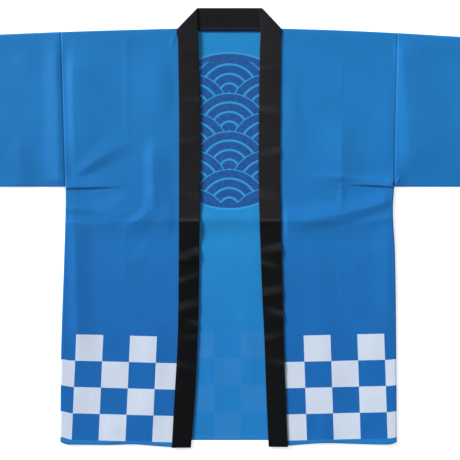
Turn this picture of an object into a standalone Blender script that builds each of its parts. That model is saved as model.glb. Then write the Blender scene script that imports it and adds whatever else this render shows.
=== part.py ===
"""Happi coat laid out flat, front side up, in the pieces that its maker cuts and sews.

Metres, +Z up. The coat lies on z = 0 with the collar towards +Y and the hem towards -Y.
Left and right are the wearer's, so the wearer's right sleeve is at -X.
"Out" is a distance from the middle of the coat, "down" a distance from the neck point,
where the shoulder meets the collar, towards the hem.
"""

import bpy
import numpy as np

NAME = "happi_coat"
SIGN = {"right": -1.0, "left": 1.0}

# Cloth
CLOTH = 0.0012  # wall of one layer
BAND = 0.0024  # wall of the collar, which is cloth folded double
GAP = 0.0003  # between pieces that are sewn together or lie on each other

# Main sizes
NECK_Y = 0.40845  # where the neck point lies along Y
SPAN = 0.6540  # middle of the back to the cuff
UNDERARM = 0.3245  # down to the underarm seam
BACK_HEM = 0.8436
HEM_RISE = 0.0100  # how much the front hem lifts at the side seam
HEM_RISE_RUN = 0.0240

# Height of the upper layer, measured to its outer face
LAID = 0.0031  # where it lies on the layer below
PUFF = 0.0057  # beside a fold or a seam, where the cloth springs up
PUFF_AT_NECK = 0.0038  # there the collar presses it down
PUFF_RUN = 0.0420  # how far in from the edge the cloth comes down again
ROLL = 0.0042  # how far in from an edge the cloth reaches its full height
ROLL_RADIUS = 0.0030  # of the turn over a rolled edge
STRAIGHT_FOOT = 0.0006  # the least height of the straight part below the turn
CLOSED_ABOVE = 0.0040  # the side seam starts to roll this far above the underarm
CLOSED_RUN = 0.0140


def table(names, *rows):
    """Columns by name, a row for each section."""
    return dict(zip(names, np.array(rows, float).T))


# Half the width of the body: the armhole seam, then the side seam.
SIDES = table(
    ("down", "right", "left"),
    (0.000, 0.3452, 0.3444),
    (0.130, 0.3413, 0.3414),
    (0.249, 0.3377, 0.3388),
    (0.325, 0.3358, 0.3376),
    (0.352, 0.3356, 0.3356),
    (0.454, 0.3368, 0.3393),
    (0.659, 0.3424, 0.3420),
    (0.852, 0.3465, 0.3430),
)

# The front hem, which waves a little on its way from the collar to the side seam.
HEMS = table(
    ("out", "right", "left"),
    (0.105, 0.8586, 0.8564),
    (0.150, 0.8553, 0.8522),
    (0.190, 0.8522, 0.8496),
    (0.250, 0.8533, 0.8508),
    (0.300, 0.8528, 0.8522),
    (0.345, 0.8522, 0.8522),
)
FRONT_LENGTH = 0.8520  # of the grid that is laid over a front, before its hem's wave

# How far the shoulder fold, and then the sleeve's fold, has dropped.
SHOULDERS = table(
    ("out", "right", "left"),
    (0.106, 0.0000, 0.0000),
    (0.220, 0.0032, 0.0036),
    (0.345, 0.0072, 0.0094),
    (0.470, 0.0123, 0.0168),
    (0.654, 0.0190, 0.0250),
)

# The collar's sewn edge and its free folded edge down each front.
BANDS = table(
    ("down", "right_sewn", "right_free", "left_free", "left_sewn"),
    (0.000, 0.1056, 0.0648, 0.0631, 0.1058),
    (0.150, 0.1031, 0.0597, 0.0607, 0.1043),
    (0.350, 0.1031, 0.0597, 0.0607, 0.1043),
    (0.415, 0.1032, 0.0612, 0.0626, 0.1060),
    (0.515, 0.1037, 0.0621, 0.0660, 0.1086),
    (0.650, 0.1062, 0.0657, 0.0722, 0.1119),
    (0.760, 0.1125, 0.0710, 0.0761, 0.1160),
    (0.859, 0.1178, 0.0786, 0.0802, 0.1200),
)
BAND_END = {"right": 0.8587, "left": 0.8570}
SEAM_ALLOWANCE = 0.0080  # the front runs this far under the collar
ALLOWANCE_TOP = 0.0120  # the allowance starts this far below the shoulder
ALLOWANCE_RUN = 0.0300

# The collar behind the neck
NECK_TOP = -0.0418  # its free edge, above the neck point
NECK_SEAM = 0.0062  # its sewn edge
NECK_CORNER = {"right": 0.0656, "left": 0.0668}  # end of the slanting fold on the free edge
FOLD_RADIUS = 0.0016  # of the slanting fold, to the middle of the wall
NECK_INSET = 0.0060  # from the slanting fold's end to where the neck stretch begins
CLIMB_TOP = 0.0450  # where the straight stretch down the front begins, below the fold
OVER_FRONT = 0.0006  # what the collar clears beyond the gap, over the front's edge
OVER_BACK = 0.0005  # the same over the back, at its free edge
OVER_FOLD = 0.0002  # the same where the slanting fold lies on the back

# The largest folds of the upper layer, in millimetres. A row is a crest from one end to
# the other, bowed sideways at its middle. Seen along it from its first end, with X to the
# right and "down" towards the eye, "plus" is the width of the flank on one hand and
# "minus" on the other: for a crest that runs down, plus is the flank towards +X.
FOLD_COLUMNS = (
    *("x_a", "down_a", "x_b", "down_b", "bow"),
    *("plus", "minus", "height", "fade_a", "fade_b"),
)
FOLDS = {
    "right": table(
        FOLD_COLUMNS,
        (-353, 22, -353, 322, 0, 12, 30, 2.6, 0.15, 0.06),
        (-314, 40, -313, 318, 0, 40, 22, 2.2, 0.12, 0.08),
        (-310, 305, -206, 238, 4, 30, 16, 2.0, 0.10, 0.25),
        (-336, 325, -216, 320, 0, 22, 9, 1.6, 0.02, 0.15),
        (-162, 215, -157, 350, 0, 30, 26, 1.9, 0.20, 0.10),
        (-158, 338, -212, 402, 8, 16, 20, 1.4, 0.10, 0.25),
        (-340, 395, -106, 397, 0, 70, 90, 1.4, 0.02, 0.02),
        (-216, 12, -216, 620, 0, 12, 12, 0.5, 0.05, 0.10),
        (-150, 560, -176, 835, 6, 34, 40, 0.9, 0.20, 0.10),
        (-300, 560, -292, 800, 0, 40, 36, 0.8, 0.20, 0.20),
        (-246, 790, -240, 851, 0, 34, 30, 1.3, 0.30, 0.01),
        (-436, 35, -400, 105, 0, 36, 40, 1.3, 0.30, 0.30),
        (-424, 235, -420, 312, 0, 30, 40, 1.2, 0.30, 0.20),
        (-560, 20, -575, 300, 8, 40, 30, 1.4, 0.20, 0.20),
        (-654, 190, -520, 215, 6, 36, 30, 1.2, 0.01, 0.40),
    ),
    "left": table(
        FOLD_COLUMNS,
        (358, 18, 378, 262, 0, 60, 20, 2.4, 0.10, 0.25),
        (331, 20, 326, 315, 0, 10, 40, 1.2, 0.10, 0.10),
        (229, 165, 229, 318, 0, 46, 16, 2.1, 0.70, 0.05),
        (336, 325, 250, 320, 0, 9, 22, 1.8, 0.02, 0.10),
        (334, 331, 110, 392, 14, 20, 18, 2.2, 0.06, 0.10),
        (333, 372, 250, 398, 0, 26, 14, 1.0, 0.05, 0.35),
        (106, 395, 337, 398, 0, 60, 80, 1.2, 0.02, 0.02),
        (229, 385, 229, 620, 0, 12, 12, 0.5, 0.10, 0.10),
        (170, 470, 205, 800, 8, 38, 40, 0.9, 0.20, 0.20),
        (290, 560, 280, 835, 6, 36, 34, 0.9, 0.20, 0.10),
        (190, 790, 196, 851, 0, 34, 30, 1.2, 0.30, 0.01),
        (410, 295, 640, 280, 0, 50, 40, 1.3, 0.30, 0.10),
        (520, 300, 535, 100, 10, 34, 38, 1.3, 0.20, 0.20),
        (654, 110, 555, 132, 6, 34, 32, 1.2, 0.01, 0.40),
    ),
}

# The back's own low ridges, two across it at the packing fold.
BACK_FOLDS = table(
    FOLD_COLUMNS,
    (-290, 395, 290, 395, 4, 45, 28, 0.9, 0.10, 0.10),
    (-270, 478, 270, 478, 6, 52, 110, 0.8, 0.15, 0.15),
)

# Grid steps. They are finer where the folds of the underarm and the packing fold lie.
STEP_ACROSS = 0.0155
STEP_DOWN = 0.0190
STEP_DOWN_FINE = 0.0095
BACK_STEP = 0.0370
BACK_STEP_FINE = 0.0140
FOLDED_ZONE = (0.290, 0.420)
BACK_FOLDED_ZONE = (0.350, 0.590)
STEP_BESIDE_ROLL = 0.0090  # for the first columns and the first row beside a rolled edge
COLUMNS_BESIDE_ROLL = 3
FRONT_WIDTH = 0.2300
SLEEVE_STEP = 0.0235
BESIDE_ARMHOLE = (0.000, 0.006, 0.012, 0.020, 0.030, 0.042)  # the sleeve's first sections
EVEN_SLEEVE = 0.0600  # from here on its sections are evenly spaced
LOWER_COUNT = 7  # points across the sleeve's lower layer, then its upper one
UPPER_COUNT = 17
COLLAR_STEP = 0.0225
COLLAR_COUNT = 4  # points across the collar
ROLL_TURNS = np.radians((0.0, 25.0, 50.0, 90.0))
FOLD_TURNS = np.radians((-90.0, -60.0, -30.0, 0.0, 30.0, 60.0, 90.0))
COLLAR_TURNS = np.radians((0.0, 36.0, 72.0, 108.0, 144.0, 180.0))

CLOTH_BLUE = (0.020, 0.183, 0.522, 1.0)
COLLAR_BLACK = (0.009, 0.009, 0.011, 1.0)


def smoothstep(t):
    """0 below 0, 1 above 1, an even S between."""
    t = np.clip(t, 0.0, 1.0)
    return t * t * (3.0 - 2.0 * t)


def along(columns, at_name, name, at):
    """A column's value at `at`, on a curve that passes each row without a kink."""
    x, y = columns[at_name], columns[name]
    slope = np.gradient(y, x)
    at = np.clip(at, x[0], x[-1])
    i = np.clip(np.searchsorted(x, at) - 1, 0, len(x) - 2)
    run = x[i + 1] - x[i]
    t = (at - x[i]) / run
    rise = (2 * t**3 - 3 * t**2 + 1) * y[i] + (3 * t**2 - 2 * t**3) * y[i + 1]
    lean = (t**3 - 2 * t**2 + t) * slope[i] + (t**3 - t**2) * slope[i + 1]
    return rise + run * lean


def side_line(side, down):
    return along(SIDES, "down", side, down)


def shoulder_line(side, out):
    return along(SHOULDERS, "out", side, out)


def hem_line(side, out):
    """The front hem, which lifts over the last stretch before the side seam."""
    edge = side_line(side, FRONT_LENGTH)
    lift = HEM_RISE * smoothstep((out - edge + HEM_RISE_RUN) / HEM_RISE_RUN) ** 2
    return along(HEMS, "out", side, out) - lift


def ridges(rows, x, down):
    """Sum of the rows' ridges. Each is a raised cosine on either flank of its crest."""
    mm = 0.001
    height = np.zeros(np.broadcast(x, down).shape)
    for i in range(len(rows["bow"])):
        row = {name: column[i] for name, column in rows.items()}
        start = mm * np.array((row["x_a"], row["down_a"]))
        reach = mm * np.array((row["x_b"], row["down_b"])) - start
        length = np.hypot(*reach)
        way = reach / length
        t = ((x - start[0]) * way[0] + (down - start[1]) * way[1]) / length
        off = (x - start[0]) * way[1] - (down - start[1]) * way[0]
        off = off - mm * row["bow"] * 4.0 * t * (1.0 - t)
        flank = mm * np.where(off > 0.0, row["plus"], row["minus"])
        across = 0.5 + 0.5 * np.cos(np.pi * np.clip(np.abs(off) / flank, 0.0, 1.0))
        ends = smoothstep(t / row["fade_a"]) * smoothstep((1.0 - t) / row["fade_b"])
        height = height + mm * row["height"] * ends * across
    return height


def back_lift(x, down):
    """Height of the back panel's underside."""
    return ridges(BACK_FOLDS, x, down)


def edge_distance(side, out, down):
    """Distance in from the nearest closed edge: shoulder fold, underarm seam or side seam."""
    inside = np.maximum(side_line(side, down) - out, 0.0)
    above = np.maximum(UNDERARM - down, 0.0)
    return np.minimum(down - shoulder_line(side, out), np.hypot(inside, above))


def upper_face(side, out, down):
    """Height of the outer face of the fronts and of the sleeves' upper layer."""
    inward = (edge_distance(side, out, down) - ROLL) / PUFF_RUN
    near_neck = smoothstep((0.190 - out) / 0.070) * smoothstep((0.120 - down) / 0.080)
    puff = PUFF + (PUFF_AT_NECK - PUFF) * near_neck
    uneven = 1.0 + 0.22 * np.sin(29.0 * out + 6.0 * SIGN[side]) * np.cos(21.0 * down + 1.0)
    sprung = (puff - LAID) * uneven * (1.0 - smoothstep(inward))
    beside_band = smoothstep((out - along(BANDS, "down", side + "_sewn", down)) / 0.030)
    x = SIGN[side] * out
    return LAID + back_lift(x, down) + sprung + ridges(FOLDS[side], x, down) * beside_band


def place(side, out, down, height):
    """Points of a grid, from distances on the wearer's left or right."""
    shape = np.broadcast(out, down, height).shape
    parts = (SIGN[side] * out, NECK_Y - down, height)
    return np.stack([np.broadcast_to(p, shape) for p in parts], axis=-1)


def evenly(start, stop, step):
    """Places from start to stop, about a step apart."""
    count = max(2, int(round((stop - start) / step)) + 1)
    return np.linspace(start, stop, count)


def in_zones(start, zone, stop, step, fine_step):
    """Places from start to stop, closer together within the zone."""
    before = evenly(start, zone[0], step)[:-1]
    within = evenly(zone[0], zone[1], fine_step)[:-1]
    return np.concatenate((before, within, evenly(zone[1], stop, step)))


def rolled_edge(full, foot):
    """A rolled edge: distances in and heights, from its foot up to each full height.

    It stands straight on its foot, then turns in through a quarter circle."""
    radius = np.minimum(full - foot - STRAIGHT_FOOT, ROLL_RADIUS)
    inward = radius * (1.0 - np.cos(ROLL_TURNS))[:, None]
    heights = full - radius * (1.0 - np.sin(ROLL_TURNS))[:, None]
    ends = np.ones_like(full)
    return np.vstack((0.0 * ends, inward, ROLL * ends)), np.vstack((foot * ends, heights, full))


def folded_edge(full):
    """A fold from the lower layer round to the upper: distances in and heights on a half ellipse."""
    return ROLL * (1.0 - np.cos(FOLD_TURNS)), 0.5 * full * (1.0 + np.sin(FOLD_TURNS))


def material(name, colour, roughness):
    made = bpy.data.materials.new(name)
    made.use_nodes = True
    shader = made.node_tree.nodes["Principled BSDF"]
    shader.inputs["Base Color"].default_value = colour
    shader.inputs["Roughness"].default_value = roughness
    shader.inputs["Metallic"].default_value = 0.0
    return made


def cloth(name, grid, wall, offset, colour, roughness, ring=False, flip=False):
    """A sheet through a grid of points, with its wall from Solidify.

    `ring` joins the last column to the first, and `flip` turns the faces over."""
    rows, columns = grid.shape[:2]
    number = np.arange(rows * columns).reshape(rows, columns)
    after = np.roll(number, -1, axis=1) if ring else number[:, 1:]
    before = number if ring else number[:, :-1]
    quads = np.stack((before[:-1], after[:-1], after[1:], before[1:]), axis=-1).reshape(-1, 4)
    if flip:
        quads = quads[:, ::-1]
    mesh = bpy.data.meshes.new(name)
    mesh.from_pydata(grid.reshape(-1, 3).tolist(), [], quads.tolist())
    mesh.materials.append(material(name + "_cloth", colour, roughness))
    mesh.shade_smooth()
    piece = bpy.data.objects.new(name, mesh)
    bpy.data.collections[NAME].objects.link(piece)
    solidify = piece.modifiers.new("wall", "SOLIDIFY")
    solidify.thickness = wall
    solidify.offset = offset
    solidify.use_even_offset = True
    return piece


def back_panel():
    """One width of cloth on the floor, from the neck and shoulders to the hem."""
    share = evenly(-1.0, 1.0, BACK_STEP / 0.335)
    nominal = in_zones(0.0, BACK_FOLDED_ZONE, BACK_HEM, BACK_STEP, BACK_STEP_FINE)[:, None]
    rows = nominal / BACK_HEM
    half = np.where(share < 0, side_line("right", nominal), side_line("left", nominal)) - GAP
    x = share * half
    out = np.abs(x)
    top = np.where(x < 0, shoulder_line("right", out), shoulder_line("left", out)) + GAP
    down = top + (BACK_HEM - top) * rows
    points = np.stack((x, NECK_Y - down, back_lift(x, down)), axis=-1)
    cloth("back_panel", points, CLOTH, 1.0, CLOTH_BLUE, 0.55, flip=True)


def front_panel(side):
    """From the shoulder, where it rolls down onto the back, to the hem, and from the
    armhole and the side seam to just under the collar."""
    foot = CLOTH + GAP
    roll_in = rolled_edge(np.array((PUFF,)), foot)[0][:, 0]
    rolled = len(roll_in)
    below = in_zones(ROLL + STEP_BESIDE_ROLL, FOLDED_ZONE, FRONT_LENGTH, STEP_DOWN, STEP_DOWN_FINE)
    nominal = np.concatenate((roll_in, below))[:, None]

    # Columns run from the side towards the collar: the roll, a few beside it, then the rest.
    flat_in = np.linspace(0.0, ROLL, rolled)
    beside = ROLL + STEP_BESIDE_ROLL * np.arange(1, COLUMNS_BESIDE_ROLL + 1)
    edge = side_line(side, nominal)
    near = edge - np.concatenate((flat_in, beside))
    tucked = SEAM_ALLOWANCE * smoothstep((nominal - ALLOWANCE_TOP) / ALLOWANCE_RUN)
    clear = 2.0 * GAP * (1.0 - tucked / SEAM_ALLOWANCE)
    inner = along(BANDS, "down", side + "_sewn", nominal) - tucked + clear
    spread = evenly(0.0, 1.0, STEP_ACROSS / (FRONT_WIDTH - beside[-1]))[1:]
    out = np.hstack((near, near[:, -1:] + (inner - near[:, -1:]) * spread))
    top = shoulder_line(side, out)
    down = top + (hem_line(side, out) - top) * nominal / FRONT_LENGTH
    height = upper_face(side, out, down)

    # The shoulder rolls down onto the back along its whole length.
    height[:rolled] = rolled_edge(height[rolled - 1], foot)[1]

    # The side seam rolls down in the same way, below the armhole.
    inward, heights = (part.T for part in rolled_edge(height[rolled:, rolled - 1], foot))
    closed = smoothstep((down[rolled:, :1] - UNDERARM + CLOSED_ABOVE) / CLOSED_RUN)
    out[rolled:, :rolled] += (flat_in - inward) * closed
    height[rolled:, :rolled] += (heights - height[rolled:, :rolled]) * closed

    name = "front_panel_" + side
    points = place(side, out, down, height)
    cloth(name, points, CLOTH, -1.0, CLOTH_BLUE, 0.55, flip=(side == "right"))


def sleeve(side):
    """A tube folded at its top, with its seam underneath, from the armhole to the cuff.

    Each ring goes up the lower layer, round the fold, down the upper layer and round the seam."""
    start = side_line(side, 0.0) + GAP
    reach = SPAN - start
    even = evenly(EVEN_SLEEVE, reach, SLEEVE_STEP)
    grid = []
    for share in np.concatenate((BESIDE_ARMHOLE, even)) / reach:
        top = shoulder_line(side, start + reach * share)
        lower = np.linspace(UNDERARM - ROLL, top + ROLL, LOWER_COUNT)
        upper = np.linspace(top + ROLL, UNDERARM - ROLL, UPPER_COUNT)

        def outward(down):
            armhole = side_line(side, down) + GAP
            return armhole + (SPAN - armhole) * share

        height = upper_face(side, outward(upper), upper)
        in_top, rise_top = folded_edge(height[0])
        in_low, rise_low = folded_edge(height[-1])
        fold, seam = slice(1, -1), slice(-2, 0, -1)
        down = np.concatenate((lower, top + in_top[fold], upper, UNDERARM - in_low[seam]))
        height = np.concatenate((0.0 * lower, rise_top[fold], height, rise_low[seam]))
        grid.append(place(side, outward(down), down, height))
    name = "sleeve_" + side
    cloth(name, np.array(grid), CLOTH, -1.0, CLOTH_BLUE, 0.55, ring=True, flip=(side == "right"))


def collar_half(side):
    """Sections of the collar from its end at the hem to the middle of the neck.

    Each section is the sewn edge and the free edge, as (out, down, height) of the
    middle of the wall. The band climbs the front, turns over on a slanting fold at
    the corner of the neck, and goes on behind the neck with its other face up."""
    rise = 0.5 * BAND + GAP
    climb = evenly(CLIMB_TOP, BAND_END[side], COLLAR_STEP)[::-1]
    sewn_out = along(BANDS, "down", side + "_sewn", climb)
    free_out = along(BANDS, "down", side + "_free", climb)
    under = sewn_out - np.array((0.0, 0.5, 1.0))[:, None] * SEAM_ALLOWANCE
    sewn_high = upper_face(side, under, climb).max(axis=0) + rise + OVER_FRONT
    free_high = back_lift(SIGN[side] * free_out, climb) + CLOTH + rise + OVER_BACK
    sewn = list(np.stack((sewn_out, climb, sewn_high), -1))
    free = list(np.stack((free_out, climb, free_high), -1))

    # The slanting fold is a half turn about an axis set back from its visible edge.
    sewn_end = np.array((BANDS[side + "_sewn"][0], 0.0))
    free_end = np.array((NECK_CORNER[side], NECK_TOP))
    slant = (free_end - sewn_end) / np.hypot(*(free_end - sewn_end))
    outward = np.array((-slant[1], slant[0]))
    outward = -outward if outward[1] > 0.0 else outward
    set_back = outward * (FOLD_RADIUS + 0.5 * BAND)
    floor_high = rise + OVER_FOLD + FOLD_RADIUS
    sewn_axis = np.array((*(sewn_end - set_back), CLOTH + floor_high))
    free_axis = np.array((*(free_end - set_back), floor_high))

    up = np.array((0.0, 0.0, FOLD_RADIUS))
    for ends, axis in ((sewn, sewn_axis), (free, free_axis)):
        last = ends[-1]
        for t in (0.25, 0.5, 0.75):
            ends.append(last + (axis + up - last) * np.array((t, t, smoothstep(t))))
        for turn in COLLAR_TURNS:
            flat = outward * FOLD_RADIUS * np.sin(turn)
            ends.append(axis + np.array((*flat, FOLD_RADIUS * np.cos(turn))))

    # Behind the neck, to the middle.
    for ends, edge_down in ((sewn, NECK_SEAM), (free, NECK_TOP)):
        turned = ends[-1]
        begun = np.array((NECK_CORNER[side] - NECK_INSET, edge_down, turned[2]))
        thirds = np.array((1.0, 2.0, 3.0)) / 3.0
        ends.extend(turned + (begun - turned) * t for t in thirds)
        ends.extend(begun * np.array((1.0 - t, 1.0, 1.0)) for t in thirds)
    return np.array(sewn), np.array(free)


def collar_band():
    """One strip folded double: up the right front, behind the neck, down the left front."""
    halves = []
    for side in SIGN:
        sewn, free = collar_half(side)
        across = np.linspace(0.0, 1.0, COLLAR_COUNT)[:, None]
        points = sewn[:, None, :] + (free - sewn)[:, None, :] * across
        halves.append(place(side, points[..., 0], points[..., 1], points[..., 2]))
    right, left = halves
    middle = 0.5 * (right[-1:] + left[-1:])
    strip = np.concatenate((right[:-1], middle, left[-2::-1]))
    cloth("collar_band", strip, BAND, 0.0, COLLAR_BLACK, 0.60)


def make():
    for leftover in list(bpy.data.objects):
        bpy.data.objects.remove(leftover)
    bpy.context.scene.collection.children.link(bpy.data.collections.new(NAME))
    back_panel()
    for side in SIGN:
        front_panel(side)
        sleeve(side)
    collar_band()


make()
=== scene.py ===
from functools import partial

import bpy
import numpy as np
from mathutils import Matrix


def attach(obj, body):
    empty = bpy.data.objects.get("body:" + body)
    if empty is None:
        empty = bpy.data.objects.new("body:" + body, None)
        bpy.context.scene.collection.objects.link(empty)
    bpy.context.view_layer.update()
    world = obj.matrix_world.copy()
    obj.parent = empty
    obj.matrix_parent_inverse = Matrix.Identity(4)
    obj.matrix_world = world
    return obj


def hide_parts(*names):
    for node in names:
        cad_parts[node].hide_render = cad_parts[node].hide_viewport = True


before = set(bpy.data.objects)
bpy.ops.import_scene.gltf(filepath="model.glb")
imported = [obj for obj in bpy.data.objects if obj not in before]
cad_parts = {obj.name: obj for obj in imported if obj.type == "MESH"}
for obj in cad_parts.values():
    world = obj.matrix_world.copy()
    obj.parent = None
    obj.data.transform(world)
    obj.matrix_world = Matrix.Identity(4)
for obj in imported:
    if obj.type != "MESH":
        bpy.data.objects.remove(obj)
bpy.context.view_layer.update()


# The back. One width of thin blue polyester that lies on the floor, printed on its outside
# with a check along the hem and a roundel of waves between the shoulders. Its inside faces
# up, and in the front opening the print shows through it, faded.

SIGN = {"right": -1.0, "left": 1.0}  # the wearer's right lies at -X
NECK_Y = 0.40845  # the neck point; "down" is measured from it towards the hem
MM = 0.001
WALL = 0.0005  # the cloth's own thickness
GAP = 0.0003
BACK_HEM = 0.8436
TURNED_UP = 0.0080  # width of the hem's fold
HEM_RAMP = 0.0018  # how far its inner edge and its outer edge take to rise
HEM_STEP = 0.00028  # how much the hem's fold adds to the height
STITCH = 0.0032  # from one stitch to the next
STITCH_REACH = 0.41  # half a stitch's length, as a share of that
THREAD = 0.00020  # half the thread's width
THREAD_FLAT = 0.8  # its height, as a share of its width
SEWN_IN = 0.0014  # how far inside a fold's inner edge its stitches lie
ROW_POINTS = 200


def table(names, *rows):
    """Columns by name, a row for each section."""
    return dict(zip(names, np.array(rows, float).T))


# Half the width of the body: the armhole seam, then the side seam.
SIDES = table(
    ("down", "right", "left"),
    (0.000, 0.3452, 0.3444),
    (0.130, 0.3413, 0.3414),
    (0.249, 0.3377, 0.3388),
    (0.325, 0.3358, 0.3376),
    (0.352, 0.3356, 0.3356),
    (0.454, 0.3382, 0.3393),
    (0.659, 0.3448, 0.3420),
    (0.852, 0.3465, 0.3430),
)

# How far the shoulder fold, and then the sleeve's fold, has dropped.
SHOULDERS = table(
    ("out", "right", "left"),
    (0.106, 0.0000, 0.0000),
    (0.220, 0.0032, 0.0036),
    (0.345, 0.0072, 0.0094),
    (0.470, 0.0123, 0.0168),
    (0.654, 0.0190, 0.0250),
)

# A row is a crease's crest in millimetres, from one end to the other, bowed sideways at
# its middle. Then come the widths of its two flanks at the far end, the first towards +X
# for a crest that runs down, its height, and the shares of its length over which it fades
# in and out. The last two are the share of those widths at the near end, and 0 for a sharp
# crest or 1 for a round one.
BACK_CREASES = (
    (-290, 394, 290, 394, 3, 40, 26, 1.1, 0.25, 0.25, 1.0, 0.6),
    (-270, 474, 270, 478, 6, 60, 120, 1.0, 0.3, 0.3, 1.0, 1.0),
    (-88, 393, 88, 394, 2, 30, 38, 1.6, 0.25, 0.25, 1.0, 0.6),
    (-88, 472, 88, 475, 3, 60, 140, 0.7, 0.25, 0.25, 1.0, 1.0),
    (-64, 392, 64, 394, 0, 5, 4, 0.2, 0.3, 0.3, 1.0, 0.5),
    (24, 520, 46, 790, 5, 26, 34, 0.6, 0.4, 0.4, 0.8, 0.6),
    (-46, 600, -28, 820, 4, 28, 22, 0.5, 0.4, 0.3, 0.8, 0.6),
    (-60, 520, 30, 560, 8, 22, 30, 0.4, 0.4, 0.5, 0.8, 0.8),
)


def smoothstep(t):
    """0 below 0, 1 above 1, an even S between."""
    t = np.clip(t, 0.0, 1.0)
    return t * t * (3.0 - 2.0 * t)


def along(columns, at_name, name, at):
    """A column's value at `at`, on a curve that passes each row without a kink."""
    x, y = columns[at_name], columns[name]
    slope = np.gradient(y, x)
    at = np.clip(at, x[0], x[-1])
    i = np.clip(np.searchsorted(x, at) - 1, 0, len(x) - 2)
    run = x[i + 1] - x[i]
    t = (at - x[i]) / run
    rise = (2 * t**3 - 3 * t**2 + 1) * y[i] + (3 * t**2 - 2 * t**3) * y[i + 1]
    lean = (t**3 - 2 * t**2 + t) * slope[i] + (t**3 - t**2) * slope[i + 1]
    return rise + run * lean


def side_line(side, down):
    return along(SIDES, "down", side, down)


def shoulder_line(side, out):
    return along(SHOULDERS, "out", side, out)


def creases(rows, x, down):
    """Sum of the rows' ridges. At a share u of the way down a flank, the ridge stands at
    (1 - u)^2 times (1 + 2u times its softness) of its crest's height."""
    total = np.zeros(np.broadcast(x, down).shape)
    for x_a, down_a, x_b, down_b, bow, plus, minus, height, fade_a, fade_b, fan, soft in rows:
        start = MM * np.array((x_a, down_a))
        reach = MM * np.array((x_b, down_b)) - start
        length = np.hypot(*reach)
        way = reach / length
        t = ((x - start[0]) * way[0] + (down - start[1]) * way[1]) / length
        off = (x - start[0]) * way[1] - (down - start[1]) * way[0]
        off = off - MM * bow * 4.0 * t * (1.0 - t)
        ends = smoothstep(t / fade_a) * smoothstep((1.0 - t) / fade_b)
        fan = fan + (1.0 - fan) * np.clip(t, 0.0, 1.0)
        flank = MM * np.where(off > 0.0, plus, minus) * fan
        u = np.clip(np.abs(off) / flank, 0.0, 1.0)
        across = (1.0 - u) ** 2 * (1.0 + 2.0 * u * soft)
        total = total + MM * height * ends * across
    return total


def hem_fold(in_from_edge, width):
    """Height that a turned-up hem adds: a step down at its inner edge, rounded at its outer."""
    inner = smoothstep((width - in_from_edge) / HEM_RAMP)
    rounded = 1.0 - smoothstep(in_from_edge / HEM_RAMP)
    return HEM_STEP * inner - WALL * rounded


def back_lift(x, down):
    return creases(BACK_CREASES, x, down)


def back_face(x, down):
    """The inside face of the back, which lies upwards."""
    return WALL + back_lift(x, down) + hem_fold(BACK_HEM - down, TURNED_UP)


def steps(*stretches):
    """Places through several stretches, each (start, stop, about how far apart)."""
    parts = [
        np.linspace(start, stop, max(1, round((stop - start) / step)), endpoint=False)
        for start, stop, step in stretches
    ]
    return np.concatenate((*parts, [stretches[-1][1]]))


def grid(*parts):
    """Numbers that belong together, side by side along a last axis."""
    return np.stack(np.broadcast_arrays(*parts), axis=-1)


def place(side, out, down, height):
    """Points, from distances on the wearer's left or right."""
    return grid(SIGN[side] * out, NECK_Y - down, height)


def travelled(row):
    """How far along a row of points each of them is."""
    return np.concatenate(([0.0], np.cumsum(np.linalg.norm(np.diff(row, axis=0), axis=1))))


def add_piece(name, points, faces, materials):
    mesh = bpy.data.meshes.new(name)
    mesh.from_pydata(points.reshape(-1, 3).tolist(), [], faces)
    mesh.shade_smooth()
    for material in materials:
        mesh.materials.append(material)
    piece = bpy.data.objects.new(name, mesh)
    bpy.context.scene.collection.objects.link(piece)
    return piece


def cloth_piece(name, points, metres, materials, wall=WALL, ring=False, flip=False):
    """A sheet of quads through a grid of points, thickened inwards from that outer face.

    `metres` is the place of each point in the flat cloth, kept as the UV map. `ring` joins
    the last column to the first, and closes both ends where there is no wall to give it.
    `flip` turns the faces over."""
    rows, columns = points.shape[:2]
    number = np.arange(rows * columns).reshape(rows, columns)
    i = np.arange(rows - 1)[:, None]
    j = np.arange(columns if ring else columns - 1)[None, :]
    corners = ((i, j), (i, j + 1), (i + 1, j + 1), (i + 1, j))
    corners = corners[::-1] if flip else corners
    quads = np.stack([number[a, b % columns] for a, b in corners], axis=-1).reshape(-1, 4)
    faces = quads.tolist()
    flat = np.stack([metres[a, b] for a, b in corners], axis=-2).reshape(-1, 2)
    if ring and not wall:
        for row, order in ((0, slice(None, None, -1)), (-1, slice(None))):
            faces.append(number[row, order].tolist())
            flat = np.concatenate((flat, metres[row, :columns][order]))
    piece = add_piece(name, points, faces, materials)
    piece.data.uv_layers.new(name="cloth").data.foreach_set("uv", flat.ravel())
    if wall:
        solidify = piece.modifiers.new("wall", "SOLIDIFY")
        solidify.thickness = wall
        solidify.offset = -1.0
        solidify.use_even_offset = True
        solidify.material_offset = len(materials) - 1
    return piece


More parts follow.
